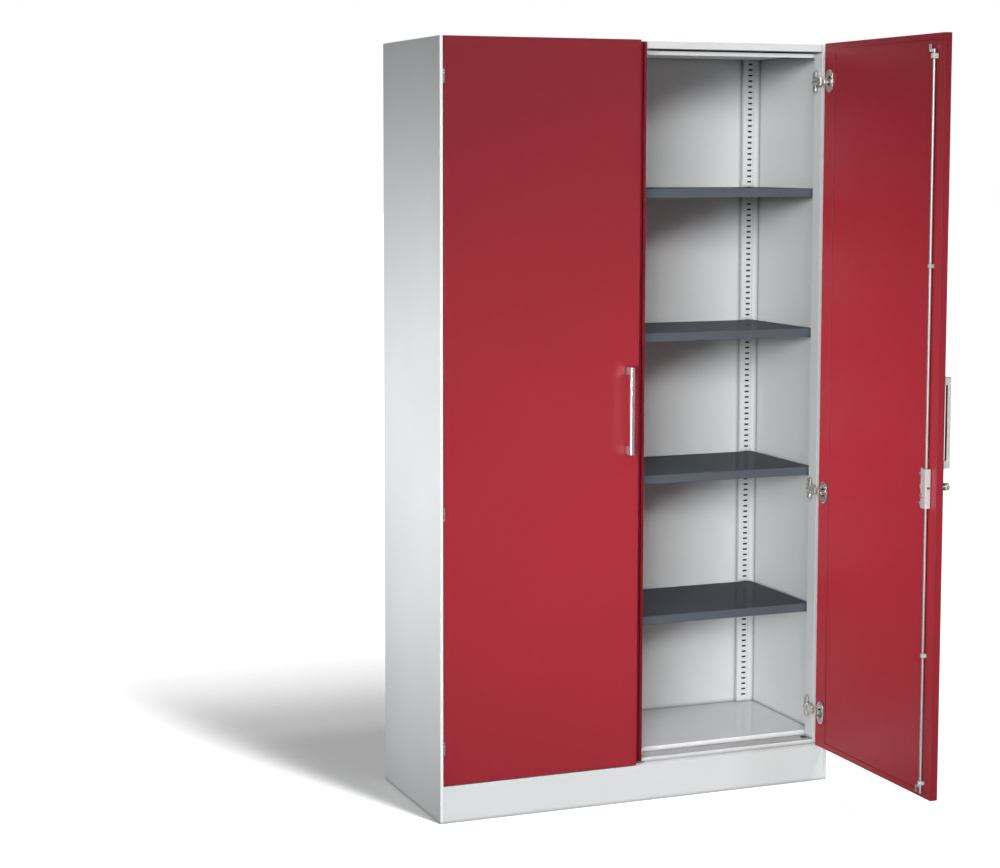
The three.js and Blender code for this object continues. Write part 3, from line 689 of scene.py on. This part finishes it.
def lock_knob():
    """Barrel, neck and ridged turning knob on the door's outer face."""
    low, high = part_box("lock_cylinder")
    centre_y, centre_z = (low.y + high.y) / 2, (low.z + high.z) / 2
    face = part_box("door_skin_right")[1].x

    def at(out):
        return (face + out, centre_y, centre_z)

    shape = Shape()
    shape.rod((low.x, centre_y, centre_z), at(KNOB_OUT / 2), KNOB_RADIUS - 0.4 * MM, 0.6 * MM)
    shape.rod(at(0), at(KNOB_OUT - 2 * MM), KNOB_NECK, 0.3 * MM)
    shape.rod(at(KNOB_OUT - KNOB_LONG), at(KNOB_OUT), KNOB_RADIUS, 1.2 * MM)
    ridges = 16
    for i in range(ridges):
        angle = 2 * math.pi * i / ridges
        y = centre_y + KNOB_RADIUS * math.cos(angle)
        z = centre_z + KNOB_RADIUS * math.sin(angle)
        start = face + KNOB_OUT - KNOB_LONG + 1.5 * MM
        shape.rod((start, y, z), (face + KNOB_OUT - 1.5 * MM, y, z), 0.6 * MM, 0.0, 12)
    shape.piece("lock_knob", "lock_turn", "nickel", stands_for=["lock_cylinder"])


def side_screws(side):
    """Screws that hold the back panel's returns, down the cabinet's rear."""
    low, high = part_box(f"side_panel_{side}")
    inner = high.x - 10 * MM if side == "left" else low.x + 10 * MM
    x = low.x + 10 * MM if side == "left" else high.x - 10 * MM
    shape = Shape()
    count = 7
    for i in range(count):
        z = low.z + 60 * MM + i * (high.z - low.z - 120 * MM) / (count - 1)
        shape.screw((x, high.y, z), Y_AXIS, 3.8 * MM, 1.4 * MM)
    shape.piece(f"rear_screws_{side}", "carcass", "zinc_plate", SHADOW_GAP)


def door_buffers():
    """Clear rubber buffers on the strike strip's landing."""
    low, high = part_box("strike_strip")
    shape = Shape()
    for z in (low.z + 60 * MM, high.z - 60 * MM):
        shape.rod((low.x + 9 * MM, low.y, z), (low.x + 9 * MM, low.y - MM, z), 4 * MM, 0.4 * MM)
    shape.piece("door_buffers", "left_door", "pale_plastic")


# ---- floor and light ----
FLOOR_RADIUS = 60
AMBIENT = 0.25
FLOOR_GLOW = 0.16
KEY_AZIMUTH = 20
FLOOR_KEYS = ((52, 0.4), (57, 0.65), (62, 0.8), (67, 0.55), (74, 0.45))
INSIDE_KEYS = ((-14, 24, 0.6), (-22, 19, 0.8), (-31, 14, 1.0), (-39, 9, 1.12), (-47, 4, 1.25))
OPEN_DOOR_BODIES = ("right_door", "lock_turn", "upper_rod", "lower_rod")


def add_floor():
    bm = bmesh.new()
    bmesh.ops.create_circle(bm, cap_ends=True, segments=64, radius=FLOOR_RADIUS)
    mesh = bpy.data.meshes.new("floor")
    bm.to_mesh(mesh)
    bm.free()
    finish = Finish("floor_paint", specular=0.1)
    finish.colours(finish.noise(2.0), (0.86, 0.86, 0.86), (0.88, 0.88, 0.88))
    finish.roughness(finish.noise(8.0), 0.6, 0.7)
    finish.surface.inputs["Emission Color"].default_value = (1, 1, 1, 1)
    finish.surface.inputs["Emission Strength"].default_value = FLOOR_GLOW
    mesh.materials.append(finish.material)
    floor = bpy.data.objects.new("floor", mesh)
    floor.visible_diffuse = False
    floor.visible_glossy = False
    bpy.context.scene.collection.objects.link(floor)
    floor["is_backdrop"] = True
    return floor


def add_world():
    """White behind the object, and a softer white for all other rays."""
    world = bpy.data.worlds.new("studio")
    world.use_nodes = True
    tree = world.node_tree
    ambient = tree.nodes["Background"]
    ambient.inputs["Color"].default_value = (1.0, 1.0, 1.0, 1)
    ambient.inputs["Strength"].default_value = AMBIENT
    backdrop = tree.nodes.new("ShaderNodeBackground")
    backdrop.inputs["Color"].default_value = (1.0, 1.0, 1.0, 1)
    rays = tree.nodes.new("ShaderNodeLightPath")
    mix = tree.nodes.new("ShaderNodeMixShader")
    tree.links.new(rays.outputs["Is Camera Ray"], mix.inputs["Fac"])
    tree.links.new(ambient.outputs["Background"], mix.inputs[1])
    tree.links.new(backdrop.outputs["Background"], mix.inputs[2])
    tree.links.new(mix.outputs["Shader"], tree.nodes["World Output"].inputs["Surface"])
    bpy.context.scene.world = world


def add_light(data, place, target, receivers=None, blockers=None):
    light = bpy.data.objects.new(data.name, data)
    light.location = place
    aim = Vector(target) - Vector(place)
    light.rotation_euler = aim.to_track_quat("-Z", "Y").to_euler()
    light.visible_camera = False
    bpy.context.scene.collection.objects.link(light)
    if receivers:
        light.light_linking.receiver_collection = receivers
    if blockers:
        light.light_linking.blocker_collection = blockers


def towards(azimuth, elevation, distance=1.0):
    """Offset to a light, azimuth from the front towards the right, both in degrees."""
    turn, rise = math.radians(azimuth), math.radians(elevation)
    flat = math.cos(rise)
    return distance * Vector((flat * math.sin(turn), -flat * math.cos(turn), math.sin(rise)))


def add_sun(name, azimuth, elevation, angle, strength, receivers=None, blockers=None):
    data = bpy.data.lights.new(name, "SUN")
    data.energy = strength
    data.angle = math.radians(angle)
    add_light(data, towards(azimuth, elevation), (0, 0, 0), receivers, blockers)


def add_softbox(name, azimuth, elevation, distance, target, size, power, spread, receivers=None):
    data = bpy.data.lights.new(name, "AREA")
    data.shape = "SQUARE"
    data.size = size
    data.energy = power
    data.spread = math.radians(spread)
    place = Vector(target) + towards(azimuth, elevation, distance)
    add_light(data, place, target, receivers)


def group_of(name, keep):
    """The shown objects that keep accepts, as a collection that a light can be limited to."""
    group = bpy.data.collections.new(name)
    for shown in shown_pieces():
        if keep(shown):
            group.objects.link(shown)
    return group


def nodes_of_slot(slot):
    return [subpart["node"] for subpart in frame["record"]["subparts"] if subpart["material_slot"] == slot]


def on_body(shown, *bodies):
    return any(body in bodies for body in body_of(shown))


def is_lock_fitting(shown):
    return on_body(shown, *OPEN_DOOR_BODIES) and not shown.name.startswith(("door_", "hinge_", "lock_case"))


def light_floor():
    """Keys at several heights, so that the cabinet's shadow fades with distance."""
    floor = bpy.data.collections.new("lit_floor")
    floor.objects.link(add_floor())
    blockers = group_of("floor_blockers", lambda shown: not on_body(shown, *OPEN_DOOR_BODIES))
    for elevation, strength in FLOOR_KEYS:
        add_sun(f"floor_key_{elevation}", KEY_AZIMUTH, elevation, 6, strength, floor, blockers)


def add_studio():
    light_floor()
    add_world()
    red = nodes_of_slot("red_powder_coat")
    own_light = ("side_panel_left", "plinth_front", "handle_left")
    left_door = group_of("left_door_front", lambda shown: shown.name == "handle_left" or
                         shown.name in red and on_body(shown, "left_door"))
    right_door = group_of("right_door_paint", lambda shown: shown.name in red and on_body(shown, "right_door"))
    fittings = group_of("fittings", lambda shown: shown.name == "handle_left" or is_lock_fitting(shown))
    rest = group_of("rest", lambda shown: shown.name not in own_light and not is_lock_fitting(shown))
    side = group_of("side", lambda shown: shown.name == "side_panel_left")
    plinth = group_of("plinth", lambda shown: shown.name == "plinth_front")
    ceiling = group_of("ceiling", lambda shown: shown.name == "ceiling_panel")
    bottom = group_of("bottom", lambda shown: shown.name == "floor_panel")
    outer_faces = ("back_panel", "side_panel_right", "door_skin_right")
    outside = group_of("outside", lambda shown: shown.name in outer_faces)
    shelves = group_of("shelves", lambda shown: shown.name in SHELVES)
    beyond_door = group_of("beyond_door", lambda shown: shown.name in ("handle_right", "lock_knob"))
    add_sun("key", KEY_AZIMUTH, 48, 12, 0.96)
    for azimuth, elevation, strength in INSIDE_KEYS:
        add_sun(f"inside_key_{elevation}", azimuth, elevation, 7, strength, rest)
    add_sun("fittings_fill", -33, 12, 25, 2.0, fittings)
    add_sun("strip_fill", 60, 5, 5, 9.0, side, left_door)
    add_sun("plinth_fill", 0, 40, 10, 4.8, plinth, left_door)
    add_sun("ceiling_fill", -20, -15, 10, 3.0, ceiling, ceiling)
    add_sun("bottom_fill", -25, 42, 20, 1.6, bottom)
    add_sun("handle_key", 36, 32, 7, 1.8, left_door)
    add_sun("outside_fill", 125, 15, 25, 1.6, outside)
    for azimuth in (25, -155):
        add_sun(f"far_handle_fill_{azimuth}", azimuth, -7, 40, 0.22, beyond_door, bottom)
    add_sun("shelf_fill", -25, 4, 20, 2.4, shelves, bottom)
    add_softbox("left_softbox", -55, 3, 4.5, (0.1, -0.2, 0.74), 1.2, 26.5, 30, left_door)
    add_softbox("right_softbox", -55, 3, 4.5, (0.1, -0.2, 0.95), 1.2, 34, 30, right_door)
    add_softbox("side_softbox", -80, 3, 4.5, (-0.5, 0.2, 0.9), 1.2, 11.8, 28, side)
    bpy.context.scene.view_settings.view_transform = "Standard"


add_camera()
finish_nodes()
for level in LEVELS:
    for side in SIDES:
        hinge_arm(level, side)
        hinge_cup(level, side)
for shelf in SHELVES:
    shelf_clips(shelf)
for side in SIDES:
    rail_slit_shade(side)
    side_screws(side)
lock_details()
lock_knob()
add_studio()
